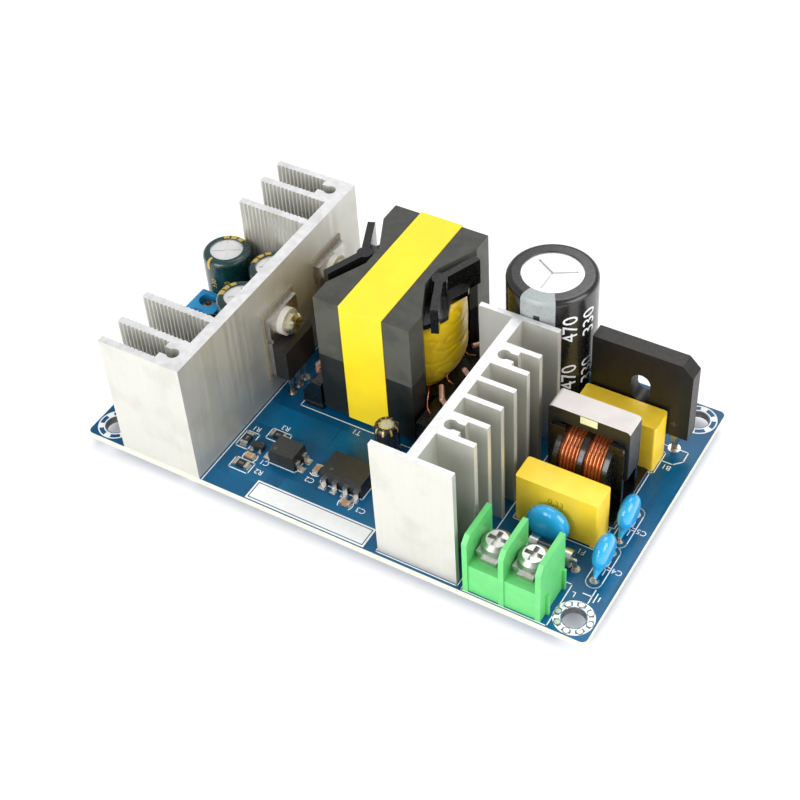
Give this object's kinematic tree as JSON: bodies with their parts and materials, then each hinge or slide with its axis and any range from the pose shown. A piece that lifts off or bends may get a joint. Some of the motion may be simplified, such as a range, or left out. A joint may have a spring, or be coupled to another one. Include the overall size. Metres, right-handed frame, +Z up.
{
  "type": "power supply module",
  "caption": "Open-frame AC-DC power supply board with extruded heatsinks, a taped transformer, a mains input stage with screw terminals and a low-voltage output stage.",
  "frame": {"origin": "under the middle of the circuit board, at the height of the underside of the heatsink screw heads it stands on", "axes": "+X along the board's long side towards the mains input, +Y from the front edge to the back edge, +Z up through the components"},
  "size_m": [0.116, 0.0666, 0.039],
  "materials": {
    "board": "blue solder mask over glass-fibre laminate",
    "tinned": "tin plated",
    "aluminium": "extruded, bare",
    "steel": "bright zinc",
    "yellow_zinc": "yellow zinc",
    "moulding": "moulded epoxy",
    "insulator": "thin filled sheet",
    "white_plastic": "satin",
    "ferrite": "ground ferrite",
    "choke_ferrite": "ground ferrite",
    "black_plastic": "moulded",
    "winding_tape": "polyester tape over copper",
    "core_tape": "polyester tape",
    "copper": "enamelled wire",
    "can": "drawn, bare",
    "black_sleeve": "shrunk sleeve",
    "teal_sleeve": "shrunk sleeve",
    "film_box": "moulded box",
    "blue_coating": "dipped epoxy",
    "fuse_tube": "dark tube",
    "green_plastic": "moulded",
    "blue_plastic": "moulded",
    "cage_metal": "plated brass",
    "chip_resistor": "glazed top",
    "chip_capacitor": "fired"
  },
  "bodies": {
    "root": {"circuit_board": "board", "solder_joints": "tinned", "output_heatsink": "aluminium", "primary_heatsink": "aluminium", "heatsink_screws": "steel", "rectifier_1_body": "moulding", "rectifier_1_frame": "tinned", "rectifier_2_body": "moulding", "rectifier_2_frame": "tinned", "switch_body": "moulding", "switch_frame": "tinned", "insulating_pads": "insulator", "insulating_bushes": "white_plastic", "device_screws": "yellow_zinc", "transformer_core_upper": "ferrite", "transformer_core_lower": "ferrite", "transformer_bobbin": "black_plastic", "transformer_winding": "winding_tape", "transformer_tape": "core_tape", "transformer_pins": "tinned", "transformer_lead_wires": "copper", "bulk_capacitor_can": "can", "bulk_capacitor_sleeve": "black_sleeve", "output_capacitor_1_can": "can", "output_capacitor_1_sleeve": "teal_sleeve", "output_capacitor_2_can": "can", "output_capacitor_2_sleeve": "teal_sleeve", "output_capacitor_3_can": "can", "output_capacitor_3_sleeve": "teal_sleeve", "supply_capacitor_can": "can", "supply_capacitor_sleeve": "black_sleeve", "component_leads": "tinned", "film_capacitor_1": "film_box", "film_capacitor_2": "film_box", "choke_core_left": "choke_ferrite", "choke_core_right": "choke_ferrite", "choke_bobbin": "black_plastic", "choke_winding_1": "copper", "choke_winding_2": "copper", "disc_capacitor_1": "blue_coating", "disc_capacitor_2": "blue_coating", "surge_absorber": "blue_coating", "fuse_tube": "fuse_tube", "fuse_end_caps": "tinned", "bridge_rectifier_body": "moulding", "input_terminal_housing": "green_plastic", "input_terminal_contacts": "tinned", "input_terminal_clamps": "steel", "input_terminal_screws": "steel", "output_terminal_housing": "blue_plastic", "output_terminal_cages": "cage_metal", "output_terminal_screws": "cage_metal", "output_choke_core": "ferrite", "output_choke_sleeve": "black_sleeve", "optocoupler_body": "moulding", "controller_body": "moulding", "reference_body": "moulding", "chip_leads": "tinned", "chip_resistors": "chip_resistor", "chip_capacitors": "chip_capacitor"}
  },
  "joints": []
}
